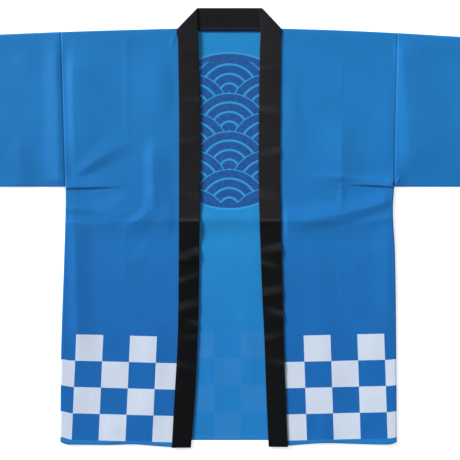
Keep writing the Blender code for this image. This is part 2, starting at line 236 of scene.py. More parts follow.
def stitch_rows(name, rows, material):
    """Stitches end to end along rows of points: each is a six-sided spindle, a little flat,
    that reaches a share of the way to the next and lies half in the cloth."""
    centres, ways = [], []
    for row in rows:
        run = travelled(row)
        ends = np.linspace(0.0, run[-1], round(run[-1] / STITCH) + 1)
        corners = np.stack([np.interp(ends, run, row[:, k]) for k in range(3)], axis=-1)
        centres.append(0.5 * (corners[1:] + corners[:-1]))
        ways.append(corners[1:] - corners[:-1])
    centre, way = np.concatenate(centres), np.concatenate(ways)
    sideways = np.cross(way, (0.0, 0.0, 1.0))
    sideways = THREAD * sideways / np.linalg.norm(sideways, axis=1, keepdims=True)
    lie = STITCH_REACH * np.array((-1.0, -0.6, 0.6, 1.0))[:, None]
    swell = np.array((0.4, 1.0, 1.0, 0.4))[:, None]
    turn = np.linspace(0.0, 2.0 * np.pi, 6, endpoint=False)[None, :]
    ahead = (lie + 0.0 * turn).ravel()[None, :, None]
    beside = (swell * np.cos(turn)).ravel()[None, :, None]
    above = (swell * np.sin(turn)).ravel()[None, :, None]
    above = above * np.array((0.0, 0.0, THREAD_FLAT * THREAD))
    points = centre[:, None] + ahead * way[:, None] + beside * sideways[:, None] + above
    first = 24 * np.arange(len(centre))[:, None, None]
    i, k = np.meshgrid(6 * np.arange(3), np.arange(6), indexing="ij")
    on = (k + 1) % 6
    ring = np.stack((i + k, i + on, i + 6 + on, i + 6 + k), axis=-1)
    quads = (first + ring.reshape(1, -1, 4)).reshape(-1, 4)
    caps = (first + np.array((range(5, -1, -1), range(18, 24)))[None]).reshape(-1, 6)
    return add_piece(name, points, quads.tolist() + caps.tolist(), [material])


def add(tree, kind, inputs=(), **settings):
    """A node with its settings. An input is a number, a colour or another node's output."""
    made = tree.nodes.new("ShaderNode" + kind)
    for name, value in settings.items():
        setattr(made, name, value)
    for place_of, value in dict(inputs).items():
        if isinstance(value, bpy.types.NodeSocket):
            tree.links.new(value, made.inputs[place_of])
        else:
            made.inputs[place_of].default_value = value
    return made


def calc(tree, operation, *values):
    return add(tree, "Math", enumerate(values), operation=operation).outputs[0]


def blend(tree, share, first, second, how="MIX"):
    """Two colours mixed by a share from 0 to 1."""
    inputs = {"Factor": share, 6: first, 7: second}
    made = add(tree, "Mix", inputs, data_type="RGBA", blend_type=how)
    return made.outputs[2]


def ramp(tree, value, start, stop):
    """0 up to the start, 1 from the stop on, even between."""
    limits = {"Value": value, "From Min": start, "From Max": stop}
    return add(tree, "MapRange", limits).outputs[0]


def noise(tree, place_at, scale, detail):
    inputs = {"Vector": place_at, "Scale": scale, "Detail": detail}
    return add(tree, "TexNoise", inputs).outputs


def split(tree, vector):
    return add(tree, "SeparateXYZ", {0: vector}).outputs


def node_group(name, place_at, numbers, results):
    """An empty node group that takes a place and numbers and gives numbers, its sockets
    inside, and a calc of its own."""
    group = bpy.data.node_groups.new(name, "ShaderNodeTree")
    sockets = [("INPUT", "Vector", place_at)]
    sockets += [("INPUT", "Float", number) for number in numbers]
    sockets += [("OUTPUT", "Float", result) for result in results]
    for way, kind, socket in sockets:
        group.interface.new_socket(socket, in_out=way, socket_type="NodeSocket" + kind)
    given = group.nodes.new("NodeGroupInput").outputs
    made = group.nodes.new("NodeGroupOutput").inputs
    return group, given, made, partial(calc, group)


def use(tree, group, **inputs):
    """That group placed in a material's tree."""
    return add(tree, "Group", inputs, node_tree=group).outputs


# Plain weave: the height is the product of a sine across the warp and one across the weft,
# made uneven by a noise as wide as a few yarns.
weave, given, made, do = node_group("plain_weave", "Cloth", ["Yarn"], ["Height"])
flat = split(weave, given["Cloth"])
turn = do("DIVIDE", np.pi, given["Yarn"])
warp = do("SINE", do("MULTIPLY", flat["X"], turn))
weft = do("SINE", do("MULTIPLY", flat["Y"], turn))
slub = noise(weave, given["Cloth"], 900.0, 1.0)["Fac"]
crossing = do("MULTIPLY_ADD", do("MULTIPLY", warp, weft), 0.5, 0.5)
weave.links.new(do("MULTIPLY", crossing, slub), made["Height"])

# Dye takes a little unevenly: broad soft clouds, and faint streaks along the yarns.
STREAKS = 0.35  # how much they count beside the clouds
mottle, given, made, do = node_group("dye_mottle", "Cloth", ["Strength"], ["Tone"])
cloud = noise(mottle, given["Cloth"], 14.0, 4.0)["Fac"]
stretch = {"Vector": given["Cloth"], "Scale": (1.0, 0.05, 1.0)}
stretched = add(mottle, "Mapping", stretch).outputs[0]
streak = noise(mottle, stretched, 260.0, 2.0)["Fac"]
both = do("MULTIPLY_ADD", streak, STREAKS, cloud)
centred = do("SUBTRACT", both, 0.5 + 0.5 * STREAKS)
mottle.links.new(do("MULTIPLY_ADD", centred, given["Strength"], 1.0), made["Tone"])

# Small unevenness of limp cloth that has been folded and laid out, as a height in metres.
LIMP_WIDE = 0.00050
LIMP_FINE = 0.00006
WEAVE_RELIEF = 0.00005
limp, given, made, do = node_group("limp_cloth", "Cloth", ["Weave"], ["Height"])
wide = noise(limp, given["Cloth"], 24.0, 2.0)["Fac"]
fine = noise(limp, given["Cloth"], 120.0, 2.0)["Fac"]
height = do("MULTIPLY_ADD", fine, LIMP_FINE, do("MULTIPLY", wide, LIMP_WIDE))
limp.links.new(do("MULTIPLY_ADD", given["Weave"], WEAVE_RELIEF, height), made["Height"])

# Check of squares, four rows deep: white where the square's column and row add up to an
# even number. It starts at the UV map's origin, and its edges bleed a little into the yarns.
# "Deep" rises from 0, well above the squares, to 1 among them, as the blue darkens towards the
# hem.
CHECK_ROWS = 4
BLEED = 0.0006
DEEPENS_FROM = -0.440
DEEPENS_TO = 0.030
check, given, made, do = node_group("hem_check", "Cloth", ["Width", "Depth"], ["White", "Deep"])
bleed = noise(check, given["Cloth"], 700.0, 1.0)["Color"]
for operation, inputs in (
    ("SUBTRACT", {1: (0.5, 0.5, 0.5)}),
    ("SCALE", {"Scale": BLEED}),
    ("ADD", {1: given["Cloth"]}),
):
    inputs[0] = bleed
    bleed = add(check, "VectorMath", inputs, operation=operation).outputs[0]
flat = split(check, bleed)
column = do("FLOOR", do("DIVIDE", flat["X"], given["Width"]))
row = do("FLOOR", do("DIVIDE", flat["Y"], given["Depth"]))
odd = do("FLOORED_MODULO", do("ADD", column, row), 2.0)
above_hem = do("LESS_THAN", row, CHECK_ROWS - 0.5)
within = do("MULTIPLY", do("GREATER_THAN", row, -0.5), above_hem)
check.links.new(do("MULTIPLY", do("SUBTRACT", 1.0, odd), within), made["White"])
nearing = ramp(check, flat["Y"], DEEPENS_FROM, DEEPENS_TO)
check.links.new(do("MULTIPLY", nearing, above_hem), made["Deep"])

# Roundel of overlapping wave scales. A scale is a disc whose lower part the next row
# covers, with rings every quarter of its radius. Rows are half a radius apart, and each
# second row is shifted by a radius.
ROUNDEL_RADIUS = 0.158
ROUNDEL_DOWN = 0.210
ROUNDEL_EDGE = 0.010  # left plain inside that radius
ROUNDEL_LINE = 0.004  # the line round it
SCALE_RADIUS = 0.0780
HALF_RING_STEP = 0.125
HALF_RING = 0.028
roundel, given, made, do = node_group("wave_roundel", "Place", [], ["Disc", "Line"])
flat = split(roundel, given["Place"])
across = do("DIVIDE", flat["X"], SCALE_RADIUS)
upward = do("DIVIDE", do("SUBTRACT", flat["Y"], NECK_Y - ROUNDEL_DOWN), SCALE_RADIUS)
lowest = do("CEIL", do("MULTIPLY", do("SUBTRACT", upward, 1.0), 2.0))
nearest = None
for above in (3, 2, 1, 0):
    row = do("ADD", lowest, float(above))
    shift = do("ADD", across, do("FLOORED_MODULO", row, 2.0))
    sideways = do("SUBTRACT", do("FLOORED_MODULO", do("ADD", shift, 1.0), 2.0), 1.0)
    height = do("SUBTRACT", upward, do("MULTIPLY", row, 0.5))
    squares = do("MULTIPLY_ADD", sideways, sideways, do("MULTIPLY", height, height))
    distance = do("SQRT", squares)
    if nearest is None:
        nearest = distance
    else:
        covers = do("LESS_THAN", distance, 1.0)
        change = do("SUBTRACT", distance, nearest)
        nearest = do("MULTIPLY_ADD", covers, change, nearest)
on_ring = do("LESS_THAN", do("PINGPONG", nearest, HALF_RING_STEP), HALF_RING)
reach = do("MULTIPLY_ADD", upward, upward, do("MULTIPLY", across, across))
reach = do("SQRT", reach)
disc, inner, rim = [
    do("LESS_THAN", reach, (ROUNDEL_RADIUS + more) / SCALE_RADIUS)
    for more in (0.0, -ROUNDEL_EDGE, ROUNDEL_LINE)
]
line = do("MULTIPLY_ADD", on_ring, inner, do("SUBTRACT", rim, disc))
roundel.links.new(disc, made["Disc"])
roundel.links.new(line, made["Line"])

PRINTED_BLUE = (0.0100, 0.172, 0.475, 1.0)
DEEP_BLUE = (0.0064, 0.122, 0.410, 1.0)
PRINTED_WHITE = (0.560, 0.640, 0.770, 1.0)
FADED_BLUE = (0.0120, 0.220, 0.535, 1.0)
FADED_DEEP = (0.0100, 0.184, 0.508, 1.0)
FADED_NAVY = (0.0128, 0.075, 0.275, 1.0)
FADED_LINE = (0.0260, 0.290, 0.640, 1.0)
NAVY = (0.0060, 0.012, 0.070, 1.0)
PRINTED_LINE = (0.180, 0.420, 0.720, 1.0)
SHOWS_THROUGH = 0.018  # how much of the white check can be seen from the cloth's other side
SOAKED_LEAST = 0.53  # how far the roundel's ink has soaked through: at least, and a noise's share
SOAKED_SPREAD = 0.80
YARN = 0.00038


def new_material(name, roughness, specular):
    material = bpy.data.materials.new(name)
    material.use_nodes = True
    inputs = material.node_tree.nodes["Principled BSDF"].inputs
    inputs["Roughness"].default_value = roughness
    inputs["Specular IOR Level"].default_value = specular
    return material, material.node_tree, inputs


def cloth_material(name, colour_of, yarn=YARN, roughness=0.46, mottled=0.16, specular=0.20):
    """A Principled cloth with weave and limpness as bump. `colour_of` wires its colour."""
    material, tree, surface = new_material(name, roughness, specular)
    cloth = add(tree, "UVMap", uv_map="cloth").outputs[0]
    space = add(tree, "TexCoord").outputs["Object"]
    colour = colour_of(tree, cloth, space)
    tone = use(tree, mottle, Cloth=cloth, Strength=mottled)["Tone"]
    tree.links.new(blend(tree, 1.0, colour, tone, "MULTIPLY"), surface["Base Color"])
    threads = use(tree, weave, Cloth=cloth, Yarn=yarn)["Height"]
    height = use(tree, limp, Cloth=cloth, Weave=threads)["Height"]
    bump = add(tree, "Bump", {"Height": height, "Distance": 1.0, "Strength": 1.0})
    tree.links.new(bump.outputs[0], surface["Normal"])
    surface["Sheen Weight"].default_value = 0.02
    surface["Sheen Roughness"].default_value = 0.45
    return material


def thread_material(name, colour):
    """Spun thread: its ply shows as fine slanting bands, in tone and as bump."""
    material, tree, surface = new_material(name, 0.45, 0.2)
    space = add(tree, "TexCoord").outputs["Object"]
    settings = {"Vector": space, "Scale": 900.0, "Distortion": 1.5}
    ply = add(tree, "TexWave", settings, bands_direction="DIAGONAL").outputs["Fac"]
    shade = calc(tree, "MULTIPLY_ADD", ply, 0.35, 0.80)
    tree.links.new(blend(tree, 1.0, colour, shade, "MULTIPLY"), surface["Base Color"])
    bump = add(tree, "Bump", {"Height": ply, "Distance": 0.00004})
    tree.links.new(bump.outputs[0], surface["Normal"])
    return material


BLUE_THREAD = (0.0160, 0.215, 0.540, 1.0)
BACK_CHECK_LEFT = -0.0862  # a corner of the back's check, across and down
BACK_CHECK_TOP = 0.6201
BACK_CHECK_WIDTH = 0.0549
BACK_CHECK_DEPTH = 0.0553


def back_check(tree, cloth):
    corner = {"Vector": cloth, "Location": (-BACK_CHECK_LEFT, -BACK_CHECK_TOP, 0.0)}
    corner = add(tree, "Mapping", corner).outputs[0]
    return use(tree, check, Cloth=corner, Width=BACK_CHECK_WIDTH, Depth=BACK_CHECK_DEPTH)


def back_inside_colour(tree, cloth, space):
    """Faded blue, with the roundel and the check showing through from the other side, where
    the ink has soaked into the yarns unevenly. It darkens towards the hem later than on that
    side."""
    shown = use(tree, roundel, Place=space)
    squares = back_check(tree, cloth)
    faint = calc(tree, "MULTIPLY", squares["White"], SHOWS_THROUGH)
    deep = calc(tree, "POWER", squares["Deep"], 3.0)
    colour = blend(tree, deep, FADED_BLUE, FADED_DEEP)
    colour = blend(tree, faint, colour, PRINTED_WHITE)
    grain = noise(tree, cloth, 110.0, 5.0)["Fac"]
    soaked = calc(tree, "MULTIPLY_ADD", grain, SOAKED_SPREAD, SOAKED_LEAST)
    colour = blend(tree, calc(tree, "MULTIPLY", shown["Disc"], soaked), colour, FADED_NAVY)
    return blend(tree, shown["Line"], colour, FADED_LINE)


def back_outside_colour(tree, cloth, space):
    shown = use(tree, roundel, Place=space)
    squares = back_check(tree, cloth)
    colour = blend(tree, squares["Deep"], PRINTED_BLUE, DEEP_BLUE)
    colour = blend(tree, squares["White"], colour, PRINTED_WHITE)
    colour = blend(tree, shown["Disc"], colour, NAVY)
    return blend(tree, shown["Line"], colour, PRINTED_LINE)


share = np.linspace(-1.0, 1.0, 141)[None, :]
nominal = steps((0.0, 0.8316, 0.0048), (0.8316, BACK_HEM, 0.0008))[:, None]
half = np.where(share < 0, side_line("right", nominal), side_line("left", nominal)) - GAP
x = share * half
out = np.abs(x)
top = np.where(x < 0, shoulder_line("right", out), shoulder_line("left", out)) + GAP
down = top + (BACK_HEM - top) * nominal / BACK_HEM
points = grid(x, NECK_Y - down, back_face(x, down))
back_cloth = cloth_piece(
    "back_cloth",
    points,
    grid(x, down),
    (
        cloth_material("back_inside", back_inside_colour),
        cloth_material("back_outside", back_outside_colour),
    ),
    flip=True,
)
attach(back_cloth, "root")
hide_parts("back_panel")

blue_thread = thread_material("blue_thread", BLUE_THREAD)
HEM_SEWN_TO = 0.336
hem_x = np.linspace(-HEM_SEWN_TO, HEM_SEWN_TO, 2 * ROW_POINTS)
hem_down = BACK_HEM - TURNED_UP + SEWN_IN
hem_row = grid(hem_x, NECK_Y - hem_down, back_face(hem_x, hem_down))
back_stitches = stitch_rows("hem_stitches_back", [hem_row], blue_thread)
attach(back_stitches, "root")


# The fronts. Each is half a width of the same cloth, printed with the check at its hem. It
# joins the back at the shoulder, is sewn to it down the side, and lies on it with the
# creases of packing and of the underarm, which pulls where the sleeve is set in.

UNDERARM = 0.3245
FRONT_LENGTH = 0.8520
HEM_RISE = 0.0096  # how much the front hem lifts at the side seam, round a quarter ellipse
HEM_RISE_RUN = 0.0200
HEM_ROUND = 0.98  # short of 1, where the ellipse would end upright
FOOT = WALL + GAP  # where a rolled edge meets the back
LAID = 0.0031  # height of the upper layer's face where it lies on the back
PUFF = 0.0045  # beside a fold or a seam, where the cloth springs up
PUFF_AT_NECK = 0.0038
SLEEVE_FOOT = 0.0020  # the sleeve's seam lies lower than its middle
FOOT_REACH = (0.030, 0.180, 0.080)  # over how far past the side, from how far down and over
BAND_CLEAR = 0.016  # beside the collar, creases fade out over this
PUFF_RUN = 0.0560
PUFF_UNEVEN = 0.22
NECK_REACH = (0.190, 0.070, 0.120, 0.080)  # out to and fading over, down to and fading over
ROLL = 0.0042  # how far in from an edge the cloth reaches its full height
ROLL_RADIUS = 0.0030
STRAIGHT_FOOT = 0.0006
SEAM_ALLOWANCE = 0.0080  # the front runs this far under the collar
ALLOWANCE_TOP = 0.0120
ALLOWANCE_RUN = 0.0300
SEAM_DIP = 0.0007  # how far both cloths go down into the armhole seam
SEAM_DIP_WIDTH = 0.0018
DIPS_PAST = 0.006  # how far past the underarm, and over what it fades
DIP_FADE = 0.010
PUCKER = 0.00012
PUCKER_WIDTH = 0.0060
CLOSES_BEFORE = 0.0040  # the side seam's roll begins this far above the underarm
CLOSES_OVER = 0.0140
HEM_SEWN_FROM = 0.0030  # from the collar's sewn edge, and from the side
HEM_SEWN_SHORT = 0.0080
PRINT_HINT = 0.03  # how much of the back's roundel shows through both layers
FRONT_ROWS = (  # closer at the underarm and the packing fold, and at the hem
    (ROLL, 0.290, 0.0031),
    (0.290, 0.420, 0.0012),
    (0.420, 0.838, 0.0034),
    (0.838, FRONT_LENGTH, 0.0008),
)

HEMS = table(
    ("out", "right", "left"),
    (0.105, 0.8586, 0.8564),
    (0.150, 0.8553, 0.8522),
    (0.190, 0.8522, 0.8496),
    (0.250, 0.8533, 0.8508),
    (0.300, 0.8528, 0.8522),
    (0.345, 0.8522, 0.8522),
)

# The collar's sewn edge and its free folded edge down each front.
BANDS = table(
    ("down", "right_sewn", "right_free", "left_free", "left_sewn"),
    (0.000, 0.1056, 0.0648, 0.0631, 0.1058),
    (0.150, 0.1031, 0.0597, 0.0607, 0.1043),
    (0.350, 0.1031, 0.0597, 0.0607, 0.1043),
    (0.415, 0.1032, 0.0612, 0.0626, 0.1060),
    (0.515, 0.1037, 0.0621, 0.0660, 0.1086),
    (0.650, 0.1062, 0.0657, 0.0722, 0.1119),
    (0.760, 0.1125, 0.0710, 0.0761, 0.1160),
    (0.859, 0.1178, 0.0786, 0.0802, 0.1200),
)

RIGHT_CREASES = (
    (-358, 4, -349, 326, 2, 27, 37, 3.3, 0.22, 0.06, 0.85, 0.7),
    (-318, 16, -313, 318, -3, 120, 27, 4.2, 0.28, 0.35, 0.85, 0.75),
    (-211, 4, -210, 270, 0, 18, 14, 0.45, 0.15, 0.4, 0.8, 0.6),
    (-214, 400, -213, 560, 0, 10, 9, 0.22, 0.3, 0.5, 1.0, 0.6),
    (-326, 311, -178, 220, 6, 56, 40, 2.2, 0.3, 0.5, 0.26, 0.55),
    (-336, 327, -208, 324, 0, 36, 3.8, 2.4, 0.03, 0.6, 0.8, 0.7),
    (-158, 214, -154, 392, 0, 52, 27, 3.4, 0.32, 0.3, 0.85, 0.5),
    (-156, 366, -232, 408, 8, 36, 20, 2.2, 0.35, 0.5, 1.0, 0.5),
    (-238, 335, -210, 402, 0, 50, 54, 1.4, 0.4, 0.4, 1.0, 1.0),
    (-336, 370, -236, 380, 2, 26, 13, 1.2, 0.05, 0.6, 1.0, 0.4),
    (-340, 398, -226, 404, 0, 10, 34, 0.9, 0.05, 0.6, 1.0, 0.4),
    (-340, 393, -106, 397, 0, 60, 54, 1.8, 0.1, 0.1, 1.0, 0.8),
    (-300, 395, -106, 398, 0, 4, 6, 0.14, 0.3, 0.3, 1.0, 0.3),
    (-109, 6, -118, 44, 0, 9, 12, 1.1, 0.2, 0.5, 0.5, 0.3),
    (-150, 30, -142, 230, 4, 40, 70, 1.8, 0.4, 0.5, 0.8, 1.0),
    (-315, 384, -306, 720, -2, 46, 24, 2.3, 0.22, 0.4, 0.85, 0.6),
    (-150, 560, -176, 835, 6, 40, 46, 0.8, 0.4, 0.2, 0.8, 1.0),
    (-300, 560, -292, 800, 0, 46, 40, 0.6, 0.4, 0.3, 0.8, 1.0),
    (-262, 436, -186, 530, 6, 34, 40, 0.8, 0.45, 0.45, 0.8, 0.7),
    (-150, 410, -210, 500, 6, 30, 26, 0.5, 0.45, 0.45, 0.6, 0.7),
    (-246, 790, -240, 851, 0, 40, 34, 0.8, 0.5, 0.01, 0.6, 1.0),
    (-436, 35, -400, 105, 0, 40, 46, 1.0, 0.45, 0.45, 0.8, 0.8),
    (-432, 205, -426, 325, 0, 44, 56, 2.0, 0.45, 0.05, 0.7, 0.7),
    (-560, 20, -575, 300, 8, 46, 36, 1.2, 0.4, 0.4, 0.8, 0.8),
    (-654, 190, -520, 215, 6, 40, 34, 1.0, 0.01, 0.6, 1.0, 0.8),
    (-654, 240, -410, 246, 0, 90, 74, 2.2, 0.01, 0.4, 1.0, 0.9),
)
LEFT_CREASES = (
    (354, 4, 377, 310, 0, 118, 40, 3.6, 0.2, 0.22, 0.55, 1.0),
    (331, 14, 327, 318, 0, 16, 44, 0.6, 0.3, 0.3, 1.0, 0.8),
    (228, 30, 229, 190, 0, 9, 9, 0.22, 0.4, 0.4, 1.0, 0.5),
    (229.5, 166, 229.5, 334, 0, 70, 110, 3.3, 0.55, 0.2, 0.34, 0.2),
    (150, 304, 318, 316, 4, 15, 15, 0.8, 0.5, 0.2, 0.9, 0.4),
    (230, 320, 337, 324, 1, 30, 4, 2.6, 0.6, 0.02, 0.8, 0.6),
    (230, 316, 229, 378, 0, 15, 12, 1.1, 0.12, 0.5, 1.0, 0.3),
    (337, 350, 104, 400, 8, 27, 42, 2.7, 0.1, 0.4, 0.75, 0.6),
    (250, 402, 337, 388, 0, 16, 18, 0.9, 0.5, 0.1, 1.0, 0.6),
    (106, 396, 337, 393, 0, 56, 48, 2.5, 0.05, 0.6, 1.0, 0.7),
    (106, 396, 300, 399, 0, 5, 6, 0.14, 0.3, 0.4, 1.0, 0.3),
    (229, 400, 229, 640, 0, 10, 10, 0.18, 0.3, 0.5, 1.0, 0.6),
    (170, 470, 205, 800, 8, 44, 46, 0.8, 0.4, 0.3, 0.8, 1.0),
    (290, 560, 280, 835, 6, 42, 40, 0.8, 0.4, 0.2, 0.8, 1.0),
    (240, 510, 322, 436, 6, 40, 36, 0.5, 0.45, 0.45, 0.7, 0.8),
    (150, 430, 200, 520, 6, 34, 40, 0.6, 0.45, 0.45, 0.7, 0.8),
    (190, 790, 196, 851, 0, 40, 34, 0.8, 0.5, 0.01, 0.6, 1.0),
    (112, 3, 122, 26, 0, 5, 6, 0.8, 0.2, 0.5, 0.5, 0.3),
    (120, 3, 134, 18, 0, 5, 6, 0.7, 0.2, 0.5, 0.5, 0.3),
    (130, 90, 142, 240, -6, 26, 30, 0.7, 0.4, 0.4, 0.8, 0.9),
    (322, 390, 326, 660, 0, 20, 30, 0.8, 0.25, 0.45, 0.9, 0.8),
    (335, 319, 320, 298, 0, 6, 6, 1.2, 0.1, 0.6, 0.5, 0.3),
    (335, 321, 312, 309, 0, 6, 6, 1.0, 0.1, 0.6, 0.5, 0.3),
    (341, 319, 352, 301, 0, 6, 6, 1.2, 0.1, 0.6, 0.5, 0.3),
    (410, 295, 640, 280, 0, 56, 46, 1.0, 0.45, 0.2, 0.8, 0.8),
    (520, 300, 535, 100, 10, 40, 44, 1.2, 0.4, 0.4, 0.8, 0.8),
    (654, 110, 555, 132, 6, 40, 36, 1.0, 0.01, 0.6, 1.0, 0.8),
)
CREASES = {"right": RIGHT_CREASES, "left": LEFT_CREASES}


def hem_line(side, out):
    """The front hem, which lifts over the last stretch before the side seam."""
    edge = side_line(side, FRONT_LENGTH)
    round_it = np.clip((out - edge + HEM_RISE_RUN) / HEM_RISE_RUN, 0.0, 1.0)
    lift = HEM_RISE * (1.0 - np.sqrt(1.0 - HEM_ROUND * round_it**2))
    return along(HEMS, "out", side, out) - lift


def edge_distance(side, out, down):
    """Distance in from the nearest closed edge: shoulder fold, underarm seam or side seam."""
    inside = np.maximum(side_line(side, down) - out, 0.0)
    above = np.maximum(UNDERARM - down, 0.0)
    return np.minimum(down - shoulder_line(side, out), np.hypot(inside, above))


def upper_face(side, out, down):
    """Height of the outer face of the fronts and of the sleeves' upper layer."""
    inward = (edge_distance(side, out, down) - ROLL) / PUFF_RUN
    out_to, out_over, down_to, down_over = NECK_REACH
    near_neck = smoothstep((out_to - out) / out_over) * smoothstep((down_to - down) / down_over)
    out_over, down_from, down_over = FOOT_REACH
    past_side = (out - side_line(side, down)) / out_over
    at_foot = smoothstep(past_side) * smoothstep((down - down_from) / down_over)
    puff = PUFF + (PUFF_AT_NECK - PUFF) * near_neck + (SLEEVE_FOOT - PUFF) * at_foot
    uneven = 1.0 + PUFF_UNEVEN * np.sin(29.0 * out + 6.0 * SIGN[side]) * np.cos(21.0 * down + 1.0)
    sprung = (puff - LAID) * uneven * (1.0 - smoothstep(inward))
    beside_band = smoothstep((out - along(BANDS, "down", side + "_sewn", down)) / BAND_CLEAR)
    x = SIGN[side] * out
    laid_face_and_painted_sheen = LAID + back_lift(x, down) + sprung + creases(CREASES[side], x, down) * beside_band
    return laid_face_and_painted_sheen - seam_pull(side, out, down)


def seam_pull(side, out, down):
    """Both cloths dip into the armhole seam, more at its stitches' uneven puckers."""
    off = side_line(side, down) - out
    sewn = smoothstep((UNDERARM + DIPS_PAST - down) / DIP_FADE)
    pucker = np.sin(560.0 * down + 2.0 * np.sin(90.0 * down)) * np.sin(47.0 * down + 1.0)
    dip = SEAM_DIP * np.exp(-((off / SEAM_DIP_WIDTH) ** 2))
    return sewn * (dip + PUCKER * pucker * np.exp(-((off / PUCKER_WIDTH) ** 2)))


def rolled_edge(full, turns):
    """A rolled edge: distances in and heights, from its foot up to each full height.

    It stands straight on its foot, then turns in through a quarter circle."""
    radius = np.minimum(full - FOOT - STRAIGHT_FOOT, ROLL_RADIUS)
    turn = np.linspace(0.0, np.pi / 2, turns)[:, None]
    ends = np.ones_like(full)
    inward = np.vstack((0.0 * ends, radius * (1.0 - np.cos(turn)), ROLL * ends))
    heights = np.vstack((FOOT * ends, full - radius * (1.0 - np.sin(turn)), full))
    return inward, heights


# Where the check lies on each front. The cloth leans with the side seam, its rows slope,
# and at the side they rise as the cloth turns under: little at the top row, more at the hem.
PRINT = {
    "right": dict(lean=0.0452, slope=0.027, middle=-0.2036, left=-0.3141, top=0.6294,
                  width=0.0550, depth=0.0540, rise_top=0.0022, rise_hem=0.0055, run=0.030),
    "left": dict(lean=-0.0325, slope=-0.0235, middle=0.2085, left=0.1528, top=0.6277,
                 width=0.0550, depth=0.0536, rise_top=0.0012, rise_hem=0.0020, run=0.020),
}
PRINT_LEVEL = 0.6529  # where the leaning columns are at their stated place
PRINT_RISE_FROM = 0.683
PRINT_RISE_OVER = 0.162


def printed_place(side, out, down):
    """Each point's place in the flat cloth, from the check's corner."""
    p = PRINT[side]
    x = SIGN[side] * out
    low = np.clip((down - PRINT_RISE_FROM) / PRINT_RISE_OVER, 0.0, 1.2)
    edge = smoothstep((out - side_line(side, down) + p["run"]) / p["run"]) ** 1.5
    rise = (p["rise_top"] + (p["rise_hem"] - p["rise_top"]) * low) * edge
    across = x + p["lean"] * (down - PRINT_LEVEL) - p["left"]
    lengthways = down - p["slope"] * (x - p["middle"]) + rise - p["top"]
    return grid(across, lengthways)


def front_check(side, tree, cloth):
    p = PRINT[side]
    return use(tree, check, Cloth=cloth, Width=p["width"], Depth=p["depth"])


def front_outside_colour(side, tree, cloth, space):
    """Blue with the white check, and a hint of the back's roundel through both layers."""
    squares = front_check(side, tree, cloth)
    shown = use(tree, roundel, Place=space)["Disc"]
    colour = blend(tree, squares["Deep"], PRINTED_BLUE, DEEP_BLUE)
    colour = blend(tree, calc(tree, "MULTIPLY", shown, PRINT_HINT), colour, NAVY)
    return blend(tree, squares["White"], colour, PRINTED_WHITE)


def front_inside_colour(side, tree, cloth, space):
    white = front_check(side, tree, cloth)["White"]
    faint = calc(tree, "MULTIPLY", white, SHOWS_THROUGH)
    return blend(tree, faint, FADED_BLUE, PRINTED_WHITE)


def front_points(side):
    """The front's grid, as distances out and down and heights. Columns run from the side
    towards the collar and rows from the shoulder to the hem; both start with the roll."""
    turns = 9
    roll_in = rolled_edge(np.array([PUFF]), turns)[0][:, 0]
    rolled = len(roll_in)
    nominal = np.concatenate((roll_in, steps(*FRONT_ROWS)[1:]))[:, None]
    flat_in = np.linspace(0.0, ROLL, rolled)
    edge = side_line(side, nominal)
    near = edge - flat_in
    tucked = SEAM_ALLOWANCE * smoothstep((nominal - ALLOWANCE_TOP) / ALLOWANCE_RUN)
    clear = 2.0 * GAP * (1.0 - tucked / SEAM_ALLOWANCE)
    inner = along(BANDS, "down", side + "_sewn", nominal) - tucked + clear
    spread = np.linspace(0.0, 1.0, 98)[1:]
    out = np.hstack((near, near[:, -1:] + (inner - near[:, -1:]) * spread))
    top = shoulder_line(side, out)
    down = top + (hem_line(side, out) - top) * nominal / FRONT_LENGTH
    height = upper_face(side, out, down) + hem_fold(hem_line(side, out) - down, TURNED_UP)
    flat = printed_place(side, out, down)

    height[:rolled] = rolled_edge(height[rolled - 1], turns)[1]
    inward, heights = (part.T for part in rolled_edge(height[rolled:, rolled - 1], turns))
    closed = smoothstep((down[rolled:, :1] - UNDERARM + CLOSES_BEFORE) / CLOSES_OVER)
    out[rolled:, :rolled] += (flat_in - inward) * closed
    height[rolled:, :rolled] += (heights - height[rolled:, :rolled]) * closed
    return place(side, out, down, height), flat


fronts = {}
for side in SIGN:
    points, flat = front_points(side)
    fronts[side] = cloth_piece(
        "front_cloth_" + side,
        points,
        flat,
        (
            cloth_material("front_outside_" + side, partial(front_outside_colour, side)),
            cloth_material("front_inside_" + side, partial(front_inside_colour, side)),
        ),
        flip=(side == "right"),
    )
    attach(fronts[side], "root")
    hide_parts("front_panel_" + side)

    sewn_from = BANDS[side + "_sewn"][-1] + HEM_SEWN_FROM
    sewn_to = side_line(side, FRONT_LENGTH) - HEM_SEWN_SHORT
    hem_out = np.linspace(sewn_from, sewn_to, ROW_POINTS)
    hem_down = hem_line(side, hem_out) - TURNED_UP + SEWN_IN
    hem_high = upper_face(side, hem_out, hem_down) + HEM_STEP
    hem_row = place(side, hem_out, hem_down, hem_high)
    front_stitches = stitch_rows("hem_stitches_" + side, [hem_row], blue_thread)
    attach(front_stitches, "root")


# The sleeves. Each is a straight tube of the same cloth, folded at its top, closed by a
# seam at its foot and sewn into the armhole, with a hem turned up inside its open cuff.

SPAN = 0.6540
CUFF_HEM = 0.0200
CUFF_SEWN_SHORT = 0.0080  # its stitches end this far from the fold and the seam
SLEEVE_DEEPENS = 0.225  # the level, in +Y, below which the blue darkens
DEEPENS_OVER = 0.400


